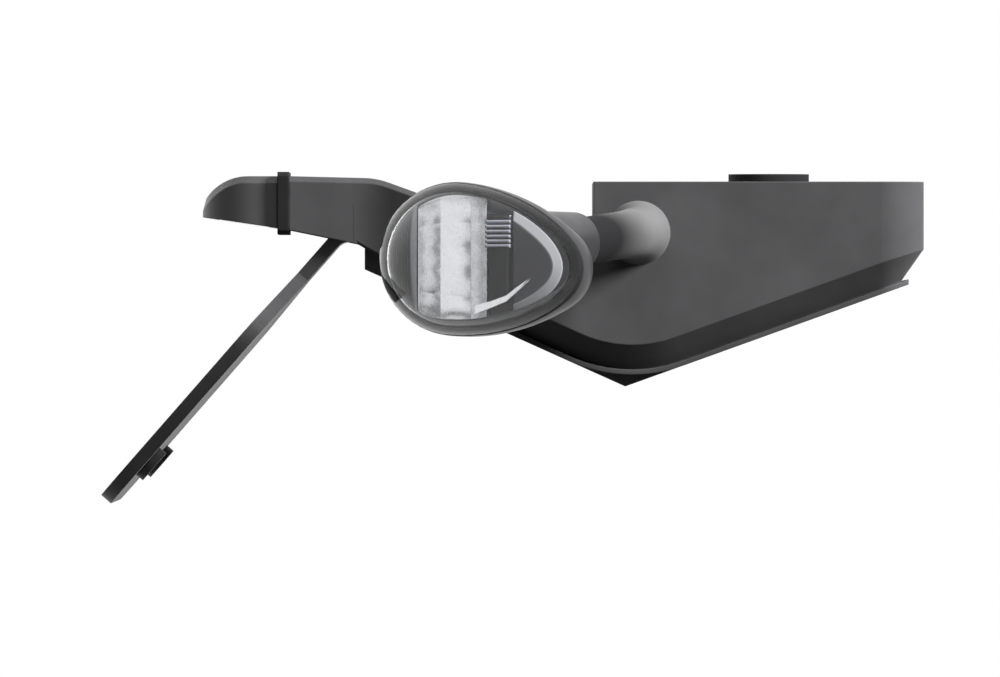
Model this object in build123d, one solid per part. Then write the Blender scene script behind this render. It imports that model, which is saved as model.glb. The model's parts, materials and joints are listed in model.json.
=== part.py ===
from build123d import *
import math
import os

# Tail tidy of a sport motorbike: a moulded shell under the tail carries the number plate
# holder, the number plate light and two indicators.
# Millimetres and degrees. +X is the front of the motorbike, +Y its left side, +Z up.
# The origin is the centre of the four tail bolts, on the mounting face of the shell.

# Shell: a raised block under the tail, wide cheeks with a chin, and a narrow arm to the rear
WALL = 3.0
BODY_WIDTH = 80.0
BODY_FRONT = 36.0
BLOCK_REAR = 41.5
BODY_CORNER_R = 10.0
CHIN_BACK = 34.0
CHIN_DEPTH = 48.0
CHIN_R = 36.0
FRONT_RISE = 19.8
KINK_BACK = 58.0
KINK_R = 30.0
ROOT_BACK = 97.0
ROOT_DEPTH = 19.7
ROOT_LIFT = 5.2
BELLY_BEVEL = 7.0
LIP_HEIGHT = 1.2
LIP_INSET = 3.5
DECK_BEND_BACK = 92.3
DECK_BEND_Z = 0.9
DECK_BEND_R = 18.0
DECK_SLOPE = 20.1
DECK_BEVEL = 1.2
ARM_END_BACK = 113.0
ARM_WIDTH = 46.0
ARM_TOP_RISE = 1.4
ARM_LOWER_RISE = 11.5
CHANNEL_FRONT_BACK = 90.0
FLARE_FRONT_BACK = 50.0
FLARE_REAR_BACK = 93.5
FLARE_R = 25.0

# Tail bolts: four M6 bolts through steel sleeves
BOLT_SPACING_X = 50.0
BOLT_SPACING_Y = 40.0
BOLT_HOLE_R = 3.3
SLEEVE_R = 5.0
SLEEVE_LENGTH = 8.0
SLEEVE_BOSS_WALL = 2.5

# Wiring grommet in the middle of the mounting face
GROMMET_BORE_R = 4.5
GROMMET_GROOVE_R = 7.0
GROMMET_FLANGE_R = 9.5
GROMMET_FLANGE = 2.0

# Belly opening and the under cover that closes it
OPENING_LIP = 10.0
OPENING_FRONT_LIP = 10.0
OPENING_CORNER_R = 6.0
COVER_GAP = 0.4
COVER_THICKNESS = 3.0
COVER_RIM = 6.0
COVER_RIM_WALL = 2.0
COVER_END_BACK = 95.2

# Cover screws: M4, their heads in round pockets, driven up into the shell's posts
SCREW_FRONT_X = 10.0
SCREW_FRONT_INSET = 10.0
SCREW_REAR_BACK = 66.0
SCREW_REAR_INSET = 13.0
SCREW_R = 2.0
SCREW_HEAD_R = 3.8
SCREW_HEAD_HEIGHT = 2.2
SCREW_LENGTH = 12.0
SCREW_HOLE_GAP = 0.3
POCKET_R = 4.6
POCKET_WALL = 2.0
POCKET_DEPTH = 4.6
POCKET_FLOOR = 2.4
POST_R = 4.0

# Number plate holder: one folded sheet, its flange bolted inside the arm
HOLDER_THICKNESS = 3.0
HOLDER_BEND_BACK = 101.2
HOLDER_FLANGE_Z = -12.5
HOLDER_FLANGE_LENGTH = 23.0
HOLDER_BEND_R = 5.0
HOLDER_ANGLE = 48.8
HOLDER_LENGTH = 82.0
HOLDER_WIDTH = 150.0
HOLDER_NECK_GAP = 1.0
HOLDER_NECK_LENGTH = 13.0
HOLDER_SHOULDER = 16.0
HOLDER_SHOULDER_R = 8.0
HOLDER_CORNER_R = 12.0
HOLDER_NUT_UP = 13.0
HOLDER_NUT_OUT = 55.0

# Clinch nuts for the number plate, M5, pressed in flush with the rear face of the holder
CLINCH_HEAD_R = 4.2
CLINCH_HEAD_HEIGHT = 2.0
CLINCH_SHANK_R = 3.2
CLINCH_BORE_R = 2.2

# Holder bolts: M5, up into brass inserts in the shell
HOLDER_BOLT_AHEAD = 14.2
HOLDER_BOLT_OUT = 11.0
HOLDER_BOLT_R = 2.5
HOLDER_BOLT_HEAD_R = 4.75
HOLDER_BOLT_HEAD_HEIGHT = 2.75
HOLDER_BOLT_LENGTH = 9.0
HOLDER_HOLE_GAP = 0.25
INSERT_R = 3.5
INSERT_LENGTH = 6.0
INSERT_BOSS_WALL = 2.0

# Number plate light at the end of the arm
GASKET_THICKNESS = 2.7
GASKET_PROUD = 1.0
GASKET_ROUND = 0.9
LIGHT_LENGTH = 17.7
LIGHT_TIP_DROP = 6.6
LIGHT_TIP_HEIGHT = 3.0
LIGHT_BASE_HEIGHT = 12.2
LIGHT_WIDTH = 44.0
LIGHT_CORNER_R = 13.0
LIGHT_TOP_FLAT = 7.0
LIGHT_BEVEL = 1.6
LIGHT_WINDOW_LENGTH = 10.0
LIGHT_WINDOW_WIDTH = 28.0
LIGHT_WINDOW_AHEAD = 3.0
LIGHT_LENS_THICKNESS = 2.0
LIGHT_LENS_LEDGE = 1.0
LIGHT_FIT_GAP = 0.15
LIGHT_POCKET_DEPTH = 6.6
LIGHT_BOARD_THICKNESS = 1.5
LED_SIZE = 3.0
LED_HEIGHT = 1.0
LED_SPACING = 7.0
LED_COUNT = 3
TONGUE_WIDTH = 30.0
TONGUE_LENGTH = 10.5
TONGUE_THICKNESS = 3.0
TONGUE_DROP = 6.4
TONGUE_GAP = 0.4

# Light screws: M3, up through the tongue into the arm
LIGHT_SCREW_AHEAD = 5.5
LIGHT_SCREW_OUT = 10.0
LIGHT_SCREW_R = 1.5
LIGHT_SCREW_HEAD_R = 2.8
LIGHT_SCREW_HEAD_HEIGHT = 1.8
LIGHT_SCREW_LENGTH = 7.0
LIGHT_SCREW_POST_R = 3.5

# Indicator: an egg-shaped lamp beside the cheek, on a short rubber stem that runs out and back
STEM_BACK = 31.0
STEM_DROP = 12.0
STEM_BASE_R = 7.5
STEM_R = 5.5
STEM_FLARE = 7.0
STEM_LENGTH = 30.0
LAMP_NECK_R = 7.0
LAMP_NECK_END_R = 12.0
LAMP_OUT = 112.0
LAMP_BACK = 73.4
LAMP_DROP = 18.4
LAMP_R = 17.8
LAMP_TIP_R = 10.4
LAMP_TIP_AHEAD = 31.6
LAMP_TILT = 5.9
LAMP_WALL = 2.0
LAMP_FIT_GAP = 0.15
RIM_OUT = 2.3
RIM_ANGLE = 8.0
SEAL_THICKNESS = 1.0
BEZEL_THICKNESS = 2.0
MASK_WALL = 1.2
WINDOW_INSET = 3.2
WINDOW_BACK = 2.5
WINDOW_RISE = 0.8
REFLECTOR_SHIFT = 1.0
REFLECTOR_LIFT = 2.0
REFLECTOR_R = 8.2
REFLECTOR_EDGE = 1.0
REFLECTOR_WALL = 1.2
LED_BOARD_SHIFT = 10.0
LED_BOARD_WIDTH = 5.0
LED_BOARD_HEIGHT = 20.0
LED_BOARD_THICKNESS = 3.5
LED_BOARD_EDGE = 0.6
LAMP_LED_SIZE = 2.6
LAMP_LED_HEIGHT = 0.6
LAMP_LED_SPACING = 6.5
LAMP_LED_COUNT = 3

# Indicator stud, washer and nut, M8, inside the cheek
STUD_R = 4.0
STUD_HOLE_GAP = 0.25
STUD_GRIP = 5.0
STUD_LENGTH = 12.5
NUT_FLATS = 13.0
NUT_HEIGHT = 6.5
NUT_BORE_GAP = 0.05
WASHER_R = 7.0
WASHER_THICKNESS = 1.2

# Larger than the whole object, for cutting forms that pass right through it
REACH = 400.0
# A face looks up or down from this share of its normal, an edge runs across from this share
LOOKS_UP = 0.5
RUNS_ACROSS = 0.9
UP = (0, 0, 1)
DOWN = (0, 0, -1)
RIGHT = (0, -1, 0)


def rise(run, degrees):
    return run * math.tan(math.radians(degrees))


REAR_RISE = math.degrees(math.atan2(CHIN_DEPTH - ROOT_DEPTH, ROOT_BACK - CHIN_BACK))


def keel_z(x):
    # Outer face of the under cover: two flat facets that meet in a crease at the chin
    if x > -CHIN_BACK:
        return -CHIN_DEPTH + rise(x + CHIN_BACK, FRONT_RISE)
    return -CHIN_DEPTH + rise(-CHIN_BACK - x, REAR_RISE)


def deck_z(x):
    # Top of the arm, and of the sloping deck between the arm and the raised block
    if x < -DECK_BEND_BACK:
        return DECK_BEND_Z + rise(-DECK_BEND_BACK - x, ARM_TOP_RISE)
    return DECK_BEND_Z - rise(x + DECK_BEND_BACK, DECK_SLOPE)


ROOT = (-ROOT_BACK, keel_z(-ROOT_BACK) + ROOT_LIFT)
KINK = (-KINK_BACK, keel_z(-KINK_BACK))
CHIN = (-CHIN_BACK, -CHIN_DEPTH)
ARM_END_TOP = deck_z(-ARM_END_BACK)
ARM_END_BOTTOM = ROOT[1] + rise(ARM_END_BACK - ROOT_BACK, ARM_LOWER_RISE)
ARM_INNER = ARM_WIDTH / 2 - WALL
CHEEK = BODY_WIDTH / 2


def face_xz(outline):
    return Plane.XZ * make_face(outline)


def across(face, half_width):
    return extrude(face, half_width, both=True)


def upright(plan):
    return extrude(Pos(0, 0, -REACH) * plan, 2 * REACH)


def rod(start, direction, radius, length):
    return Plane(origin=start, z_dir=direction) * Cylinder(
        radius, length, align=(Align.CENTER, Align.CENTER, Align.MIN)
    )


def cone(start, direction, radius, end_radius, length):
    return Plane(origin=start, z_dir=direction) * Cone(
        radius, end_radius, length, align=(Align.CENTER, Align.CENTER, Align.MIN)
    )


def rounded_face(corners):
    # A closed outline from its corners, each with the radius of its rounding
    points = [point for point, radius in corners]
    radii = [radius for point, radius in corners]
    return make_face(FilletPolyline(points, radius=radii, close=True))


def both_sides(corners):
    # The corners of the left half of a plan, followed by those of the right half
    return corners + [((x, -y), radius) for (x, y), radius in reversed(corners)]


def mirrored(part):
    return mirror(part, about=Plane.XZ)


def side_edges(part, direction):
    # The edges along the sides of the faces that look up (1) or down (-1)
    faces = [f for f in part.faces() if direction * f.normal_at().Z > LOOKS_UP]
    return [e for f in faces for e in f.edges() if abs(e.tangent_at(0.5).Y) < RUNS_ACROSS]


def rows(x, y):
    return [(x, y), (x, -y)]


def side_outline():
    corners = [
        ((BODY_FRONT, 0), 0),
        ((BODY_FRONT, keel_z(BODY_FRONT)), 0),
        (CHIN, CHIN_R),
        (KINK, KINK_R),
        (ROOT, 0),
        ((-ROOT_BACK, deck_z(-ROOT_BACK)), 0),
        ((-DECK_BEND_BACK, DECK_BEND_Z), DECK_BEND_R),
        ((-BLOCK_REAR, deck_z(-BLOCK_REAR)), 0),
        ((-BLOCK_REAR, 0), 0),
    ]
    return rounded_face(corners)


def plan_outline():
    arm = ARM_WIDTH / 2
    corners = [
        ((BODY_FRONT, CHEEK), BODY_CORNER_R),
        ((-FLARE_FRONT_BACK, CHEEK), FLARE_R),
        ((-FLARE_REAR_BACK, arm), FLARE_R),
        ((-ARM_END_BACK, arm), 0),
    ]
    return rounded_face(both_sides(corners))


def shell_form(inset):
    # The closed outer form of the cheeks and block, or the same form one wall further in
    side = side_outline()
    plan = plan_outline()
    if inset:
        side = offset(side, -inset, kind=Kind.INTERSECTION)
        plan = offset(plan, -inset, kind=Kind.INTERSECTION)
    right = extrude(Plane.XZ * side, REACH) & upright(plan)
    edges = [e for e in side_edges(right, -1) if e.center().Y < -WALL]
    # The bevel lies at 45 degrees, and the inner one is shorter so that the wall stays even
    right = chamfer(edges, BELLY_BEVEL - inset * (2 - math.sqrt(2)))
    return right + mirrored(right)


def belly_lip():
    # A narrow lip round the lower edge, standing out under the bevel
    side = side_outline()
    layer = side - Pos(0, LIP_HEIGHT) * side
    plan = offset(plan_outline(), -LIP_INSET, kind=Kind.INTERSECTION)
    return across(Plane.XZ * layer, REACH) & upright(plan)


def arm_form():
    # The narrow arm behind the root of the belly
    outline = Polyline(
        ROOT,
        (-ROOT_BACK, deck_z(-ROOT_BACK)),
        (-ARM_END_BACK, ARM_END_TOP),
        (-ARM_END_BACK, ARM_END_BOTTOM),
        close=True,
    )
    return across(face_xz(outline), REACH) & upright(plan_outline())


def arm_channel():
    # The arm is a channel, open below and at its rear end
    deck_wall = WALL / math.cos(math.radians(DECK_SLOPE))
    outline = Polyline(
        (-ARM_END_BACK - WALL, deck_z(-ARM_END_BACK - WALL) - WALL),
        (-DECK_BEND_BACK, DECK_BEND_Z - deck_wall),
        (-CHANNEL_FRONT_BACK, deck_z(-CHANNEL_FRONT_BACK) - deck_wall),
        (-CHANNEL_FRONT_BACK, -CHIN_DEPTH),
        (-ARM_END_BACK - WALL, -CHIN_DEPTH),
        close=True,
    )
    return across(face_xz(outline), ARM_INNER)


def opening_plan():
    # Plan of the belly opening: straight beside the cheeks, then narrowing along the flare
    wide = CHEEK - OPENING_LIP
    slope = (CHEEK - ARM_WIDTH / 2) / (FLARE_REAR_BACK - FLARE_FRONT_BACK)
    narrow_from = FLARE_REAR_BACK - (wide - ARM_INNER) / slope
    corners = [
        ((BODY_FRONT - OPENING_FRONT_LIP, wide), OPENING_CORNER_R),
        ((-narrow_from, wide), OPENING_CORNER_R),
        ((-FLARE_REAR_BACK, ARM_INNER), OPENING_CORNER_R),
        ((-ARM_END_BACK, ARM_INNER), 0),
    ]
    return rounded_face(both_sides(corners))


def above_keel(lift):
    # Everything over the keel line, raised by the lift
    outline = Polyline(
        (BODY_FRONT, keel_z(BODY_FRONT) + lift),
        (-CHIN_BACK, -CHIN_DEPTH + lift),
        (-ARM_END_BACK, keel_z(-ARM_END_BACK) + lift),
        (-ARM_END_BACK, REACH),
        (BODY_FRONT, REACH),
        close=True,
    )
    return across(face_xz(outline), REACH)


def cover_screw_places():
    # In from the sides of the belly opening
    side = CHEEK - OPENING_LIP
    front = rows(SCREW_FRONT_X, side - SCREW_FRONT_INSET)
    return front + rows(-SCREW_REAR_BACK, side - SCREW_REAR_INSET)


def pocket_floor(x):
    return keel_z(x) + POCKET_DEPTH


def tail_bolt_places():
    x = BOLT_SPACING_X / 2
    y = BOLT_SPACING_Y / 2
    return rows(x, y) + rows(-x, y)


def holder_bolt_places():
    return rows(-HOLDER_BEND_BACK + HOLDER_BOLT_AHEAD, HOLDER_BOLT_OUT)


def light_screw_places():
    return rows(-ARM_END_BACK + LIGHT_SCREW_AHEAD, LIGHT_SCREW_OUT)


def stem_foot(side, out):
    return (-STEM_BACK, side * out, -STEM_DROP)


HOLDER_SEAT = HOLDER_FLANGE_Z + HOLDER_THICKNESS / 2
TONGUE_TOP = ARM_END_TOP - TONGUE_DROP


def bevelled_outer():
    # The outer form, with the edges of its deck bevelled up to the wall of the raised block
    outer = shell_form(0) + arm_form()
    ahead = upright(Pos(REACH / 2 - BLOCK_REAR, 0) * Rectangle(REACH, REACH))
    rear = outer - ahead
    return (outer & ahead) + chamfer(side_edges(rear, 1), DECK_BEVEL)


def make_shell():
    outer = bevelled_outer() + belly_lip()
    shell = outer - shell_form(WALL) - arm_channel()
    shell -= upright(opening_plan()) - above_keel(ROOT_LIFT + 2 * WALL)

    posts = []
    for x, y in tail_bolt_places():
        posts.append(rod((x, y, 0), DOWN, SLEEVE_R + SLEEVE_BOSS_WALL, SLEEVE_LENGTH))
    for x, y in cover_screw_places():
        posts.append(rod((x, y, pocket_floor(x) + POCKET_FLOOR), UP, POST_R, CHIN_DEPTH))
    for x, y in holder_bolt_places():
        posts.append(rod((x, y, HOLDER_SEAT), UP, INSERT_R + INSERT_BOSS_WALL, CHIN_DEPTH))
    for x, y in light_screw_places():
        posts.append(rod((x, y, TONGUE_TOP), UP, LIGHT_SCREW_POST_R, CHIN_DEPTH))
    for post in posts:
        shell += post & outer

    for x, y in tail_bolt_places():
        shell -= rod((x, y, 0), DOWN, SLEEVE_R, SLEEVE_LENGTH)
    for x, y in cover_screw_places():
        reach = SCREW_LENGTH - POCKET_FLOOR
        shell -= rod((x, y, pocket_floor(x) + POCKET_FLOOR), UP, SCREW_R, reach)
    for x, y in holder_bolt_places():
        shell -= rod((x, y, HOLDER_SEAT), UP, INSERT_R, INSERT_LENGTH)
    for x, y in light_screw_places():
        shell -= rod((x, y, TONGUE_TOP), UP, LIGHT_SCREW_R, LIGHT_SCREW_LENGTH - TONGUE_THICKNESS)
    shell -= rod((0, 0, 0), DOWN, GROMMET_GROOVE_R, WALL)
    for side in (1, -1):
        shell -= rod(stem_foot(side, CHEEK), (0, -side, 0), STUD_R + STUD_HOLE_GAP, WALL)
    return shell


def make_mount_sleeves():
    sleeves = []
    for x, y in tail_bolt_places():
        sleeve = rod((x, y, 0), DOWN, SLEEVE_R, SLEEVE_LENGTH)
        sleeves.append(sleeve - rod((x, y, 0), DOWN, BOLT_HOLE_R, SLEEVE_LENGTH))
    return Compound(sleeves)


def make_wiring_grommet():
    outline = Polyline(
        (GROMMET_BORE_R, GROMMET_FLANGE),
        (GROMMET_FLANGE_R, GROMMET_FLANGE),
        (GROMMET_FLANGE_R, 0),
        (GROMMET_GROOVE_R, 0),
        (GROMMET_GROOVE_R, -WALL),
        (GROMMET_FLANGE_R, -WALL),
        (GROMMET_FLANGE_R, -WALL - GROMMET_FLANGE),
        (GROMMET_BORE_R, -WALL - GROMMET_FLANGE),
        close=True,
    )
    return revolve(face_xz(outline), Axis.Z)


def make_under_cover():
    plan = offset(opening_plan(), -COVER_GAP, kind=Kind.INTERSECTION)
    length = COVER_END_BACK + BODY_FRONT
    plan &= Pos(BODY_FRONT - length / 2, 0) * Rectangle(length, BODY_WIDTH)
    inner = offset(plan, -COVER_RIM_WALL, kind=Kind.INTERSECTION)
    cover = upright(plan) & (above_keel(0) - above_keel(COVER_THICKNESS))
    cover += (upright(plan) - upright(inner)) & (above_keel(0) - above_keel(COVER_RIM))
    for x, y in cover_screw_places():
        top = (x, y, pocket_floor(x) + POCKET_FLOOR)
        cover += rod(top, DOWN, POCKET_R + POCKET_WALL, CHIN_DEPTH) & above_keel(0)
    for x, y in cover_screw_places():
        cover -= rod((x, y, pocket_floor(x)), DOWN, POCKET_R, CHIN_DEPTH)
        cover -= rod((x, y, pocket_floor(x)), UP, SCREW_R + SCREW_HOLE_GAP, POCKET_FLOOR)
    return cover


def screw(seat, radius, length, head_radius, head_height):
    # A screw driven upwards: its head hangs under the seat
    return rod(seat, DOWN, head_radius, head_height) + rod(seat, UP, radius, length)


def make_cover_screws():
    screws = []
    for x, y in cover_screw_places():
        seat = (x, y, pocket_floor(x))
        screws.append(screw(seat, SCREW_R, SCREW_LENGTH, SCREW_HEAD_R, SCREW_HEAD_HEIGHT))
    return Compound(screws)


def holder_plane():
    # On the middle of the sheet, with its local Y down the holder and its normal to the rear
    angle = math.radians(HOLDER_ANGLE)
    return Plane(
        origin=(-HOLDER_BEND_BACK, 0, HOLDER_FLANGE_Z),
        x_dir=(0, 1, 0),
        z_dir=(-math.sin(angle), 0, math.cos(angle)),
    )


def make_plate_holder():
    angle = math.radians(HOLDER_ANGLE)
    neck = 2 * (ARM_INNER - HOLDER_NECK_GAP)
    bend = (-HOLDER_BEND_BACK, HOLDER_FLANGE_Z)
    neck_end = (
        bend[0] - HOLDER_NECK_LENGTH * math.cos(angle),
        bend[1] - HOLDER_NECK_LENGTH * math.sin(angle),
    )
    flange_end = (bend[0] + HOLDER_FLANGE_LENGTH, bend[1])
    fold = trace(FilletPolyline(flange_end, bend, neck_end, radius=HOLDER_BEND_R), HOLDER_THICKNESS)
    holder = across(Plane.XZ * fold, neck / 2)

    corners = [
        ((HOLDER_NECK_LENGTH, neck / 2), 0),
        ((HOLDER_NECK_LENGTH + HOLDER_SHOULDER, HOLDER_WIDTH / 2), HOLDER_SHOULDER_R),
        ((HOLDER_LENGTH, HOLDER_WIDTH / 2), HOLDER_CORNER_R),
    ]
    sheet = mirror(Rot(0, 0, 90) * rounded_face(both_sides(corners)), about=Plane.YZ)
    for side in (1, -1):
        sheet -= Pos(side * HOLDER_NUT_OUT, HOLDER_LENGTH - HOLDER_NUT_UP) * Circle(CLINCH_SHANK_R)
    holder += across(holder_plane() * sheet, HOLDER_THICKNESS / 2)

    for x, y in holder_bolt_places():
        hole = HOLDER_BOLT_R + HOLDER_HOLE_GAP
        holder -= rod((x, y, HOLDER_SEAT), DOWN, hole, HOLDER_THICKNESS)
    return holder


def make_plate_nuts():
    nuts = []
    rear = HOLDER_THICKNESS / 2
    for side in (1, -1):
        spot = holder_plane() * Pos(side * HOLDER_NUT_OUT, HOLDER_LENGTH - HOLDER_NUT_UP, -rear)
        up = (Align.CENTER, Align.CENTER, Align.MIN)
        down = (Align.CENTER, Align.CENTER, Align.MAX)
        nut = Cylinder(CLINCH_SHANK_R, HOLDER_THICKNESS, align=up)
        nut += Cylinder(CLINCH_HEAD_R, CLINCH_HEAD_HEIGHT, align=down)
        nut -= Cylinder(CLINCH_BORE_R, 2 * (HOLDER_THICKNESS + CLINCH_HEAD_HEIGHT))
        nuts.append(spot * nut)
    return Compound(nuts)


def make_plate_holder_inserts():
    inserts = []
    for x, y in holder_bolt_places():
        insert = rod((x, y, HOLDER_SEAT), UP, INSERT_R, INSERT_LENGTH)
        inserts.append(insert - rod((x, y, HOLDER_SEAT), UP, HOLDER_BOLT_R, INSERT_LENGTH))
    return Compound(inserts)


def make_plate_holder_bolts():
    bolts = []
    for x, y in holder_bolt_places():
        seat = (x, y, HOLDER_SEAT - HOLDER_THICKNESS)
        size = (HOLDER_BOLT_R, HOLDER_BOLT_LENGTH, HOLDER_BOLT_HEAD_R, HOLDER_BOLT_HEAD_HEIGHT)
        bolts.append(screw(seat, *size))
    return Compound(bolts)


LIGHT_BASE_X = -ARM_END_BACK - GASKET_THICKNESS


def tongue_form(gap):
    # The flat tongue that plugs the light into the arm
    start = LIGHT_BASE_X - WALL
    length = -ARM_END_BACK + TONGUE_LENGTH - start
    low = TONGUE_TOP - TONGUE_THICKNESS - gap
    height = TONGUE_THICKNESS + 2 * gap
    return Pos(start, 0, low) * Box(
        length, TONGUE_WIDTH + 2 * gap, height, align=(Align.MIN, Align.CENTER, Align.MIN)
    )


def make_light_gasket():
    outline = Polyline(
        (LIGHT_BASE_X, ARM_END_BOTTOM - GASKET_PROUD),
        (-ARM_END_BACK, ARM_END_BOTTOM - GASKET_PROUD),
        (-ARM_END_BACK, ARM_END_TOP + GASKET_PROUD),
        (LIGHT_BASE_X, ARM_END_TOP + GASKET_PROUD),
        close=True,
    )
    gasket = across(face_xz(outline), ARM_WIDTH / 2 + GASKET_PROUD)
    gasket = chamfer(gasket.edges().filter_by(Axis.X), GASKET_ROUND)
    return gasket - tongue_form(TONGUE_GAP)


def light_underside(x):
    # The underside rises from the base of the light to its tip
    base = ARM_END_TOP - LIGHT_BASE_HEIGHT
    tip = ARM_END_TOP - LIGHT_TIP_DROP - LIGHT_TIP_HEIGHT
    return base + (tip - base) * (LIGHT_BASE_X - x) / LIGHT_LENGTH


def under_light(lift):
    # Everything below the underside of the light, raised by the lift
    front = LIGHT_BASE_X + LIGHT_LENGTH
    rear = LIGHT_BASE_X - 2 * LIGHT_LENGTH
    outline = Polyline(
        (front, light_underside(front) + lift),
        (rear, light_underside(rear) + lift),
        (rear, -REACH),
        (front, -REACH),
        close=True,
    )
    return across(face_xz(outline), REACH)


def light_window(margin):
    front = LIGHT_BASE_X - LIGHT_WINDOW_AHEAD + margin
    length = LIGHT_WINDOW_LENGTH + 2 * margin
    width = LIGHT_WINDOW_WIDTH + 2 * margin
    return upright(Pos(front - length / 2, 0) * Rectangle(length, width))


def light_pocket_roof():
    return ARM_END_TOP - LIGHT_BASE_HEIGHT + LIGHT_POCKET_DEPTH


def make_light_housing():
    tip_x = LIGHT_BASE_X - LIGHT_LENGTH
    flat_end = (LIGHT_BASE_X - LIGHT_TOP_FLAT, ARM_END_TOP)
    tip_top = (tip_x, ARM_END_TOP - LIGHT_TIP_DROP)
    lines = [
        Line((LIGHT_BASE_X, ARM_END_TOP), flat_end),
        TangentArc(flat_end, tip_top, tangent=(-1, 0)),
        Polyline(
            tip_top,
            (tip_x, light_underside(tip_x)),
            (LIGHT_BASE_X, light_underside(LIGHT_BASE_X)),
            (LIGHT_BASE_X, ARM_END_TOP),
        ),
    ]
    housing = across(face_xz(lines), LIGHT_WIDTH / 2)
    corners = [
        ((LIGHT_BASE_X, LIGHT_WIDTH / 2), 0),
        ((tip_x, LIGHT_WIDTH / 2), LIGHT_CORNER_R),
    ]
    housing &= upright(rounded_face(both_sides(corners)))
    housing = chamfer(side_edges(housing, 1), LIGHT_BEVEL)
    roof = Pos(0, 0, light_pocket_roof()) * Rectangle(REACH, REACH)
    housing -= light_window(0) & extrude(roof, -REACH)
    housing -= light_window(LIGHT_LENS_LEDGE) & under_light(LIGHT_LENS_THICKNESS)
    housing += tongue_form(0) - upright(Pos(LIGHT_BASE_X - REACH / 2, 0) * Rectangle(REACH, REACH))
    for x, y in light_screw_places():
        housing -= rod((x, y, TONGUE_TOP), DOWN, LIGHT_SCREW_R + LIGHT_FIT_GAP, TONGUE_THICKNESS)
    return housing


def make_light_lens():
    slab = under_light(LIGHT_LENS_THICKNESS) - under_light(0)
    return light_window(LIGHT_LENS_LEDGE - LIGHT_FIT_GAP) & slab


def make_light_board():
    roof = Pos(0, 0, light_pocket_roof()) * Rectangle(REACH, REACH)
    board = light_window(-LIGHT_FIT_GAP) & extrude(roof, -LIGHT_BOARD_THICKNESS)
    middle = LIGHT_BASE_X - LIGHT_WINDOW_AHEAD - LIGHT_WINDOW_LENGTH / 2
    low = light_pocket_roof() - LIGHT_BOARD_THICKNESS
    for spot in GridLocations(1, LED_SPACING, 1, LED_COUNT):
        led = Box(LED_SIZE, LED_SIZE, LED_HEIGHT, align=(Align.CENTER, Align.CENTER, Align.MAX))
        board += Pos(middle, 0, low) * spot * led
    return board


def make_light_screws():
    screws = []
    for x, y in light_screw_places():
        seat = (x, y, TONGUE_TOP - TONGUE_THICKNESS)
        size = (LIGHT_SCREW_R, LIGHT_SCREW_LENGTH, LIGHT_SCREW_HEAD_R, LIGHT_SCREW_HEAD_HEIGHT)
        screws.append(screw(seat, *size))
    return Compound(screws)


STEM_FOOT = Vector(*stem_foot(-1, CHEEK))
LAMP_CENTER = Vector(-LAMP_BACK, -LAMP_OUT, -LAMP_DROP)
STEM_AXIS = (LAMP_CENTER - STEM_FOOT).normalized()
LAMP_NECK = STEM_FOOT + STEM_AXIS * STEM_LENGTH


TILT = math.radians(LAMP_TILT)
LAMP_PLANE = Plane(origin=LAMP_CENTER, x_dir=(math.cos(TILT), 0, -math.sin(TILT)), z_dir=RIGHT)


def egg_half(inset):
    # Half the outline of the lamp: a round rear end, a slender side and a small round tip
    tip_ahead = LAMP_TIP_AHEAD - LAMP_TIP_R
    side_r = (tip_ahead**2 + LAMP_R**2 - LAMP_TIP_R**2) / (2 * (LAMP_R - LAMP_TIP_R))
    side_low = LAMP_R - side_r
    lean = math.degrees(math.atan2(tip_ahead, -side_low))
    outline = [
        CenterArc((0, 0), LAMP_R - inset, 90, 90),
        CenterArc((0, side_low), side_r - inset, 90 - lean, lean),
        CenterArc((tip_ahead, 0), LAMP_TIP_R - inset, 0, 90 - lean),
        Line((inset - LAMP_R, 0), (LAMP_TIP_AHEAD - inset, 0)),
    ]
    return make_face(outline)


def egg(inset):
    # The right lamp: its outline turned about its long axis
    return LAMP_PLANE * revolve(egg_half(inset), Axis.X)


def lens_window():
    # What the mask leaves clear: the lamp's outline again, smaller, further back and higher
    half = egg_half(WINDOW_INSET)
    whole = half + mirror(half, about=Plane.XZ)
    return across(LAMP_PLANE * Pos(-WINDOW_BACK, WINDOW_RISE) * whole, 2 * LAMP_R)


def rim_plane(lift):
    # The plane where housing and lens meet, with its local X to the front and its normal outwards
    angle = math.radians(RIM_ANGLE)
    normal = Vector(-math.sin(angle), -math.cos(angle), 0)
    return Plane(
        origin=LAMP_CENTER + Vector(*RIGHT) * RIM_OUT + normal * lift,
        x_dir=(math.cos(angle), -math.sin(angle), 0),
        z_dir=normal,
    )


def outside_rim(lift):
    return extrude(rim_plane(lift) * Rectangle(REACH, REACH), REACH)


def reflector_form(margin):
    # An upright round trough whose axis lies just outside the rim
    trough = Cylinder(REFLECTOR_R + margin, 2 * LAMP_R, rotation=(90, 0, 0))
    trough = rim_plane(REFLECTOR_LIFT) * Pos(-REFLECTOR_SHIFT, 0, 0) * trough
    return trough & egg(LAMP_WALL + REFLECTOR_EDGE - margin)


LAMP_OUTER = egg(0)
LAMP_INNER = egg(LAMP_WALL)
REFLECTOR_POCKET = reflector_form(REFLECTOR_WALL + LAMP_FIT_GAP)


def make_indicator_housing():
    # The inner side of the egg, with a neck that opens from the end of the stem
    neck_length = (LAMP_CENTER - LAMP_NECK).length
    housing = LAMP_OUTER + cone(LAMP_NECK, STEM_AXIS, LAMP_NECK_R, LAMP_NECK_END_R, neck_length)
    housing -= outside_rim(0)
    housing -= LAMP_INNER & outside_rim(-BEZEL_THICKNESS)
    return housing - REFLECTOR_POCKET


def make_indicator_seal():
    return (LAMP_OUTER - LAMP_INNER) & (outside_rim(0) - outside_rim(SEAL_THICKNESS))


def make_indicator_lens():
    return (LAMP_OUTER - LAMP_INNER) & outside_rim(SEAL_THICKNESS)


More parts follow.
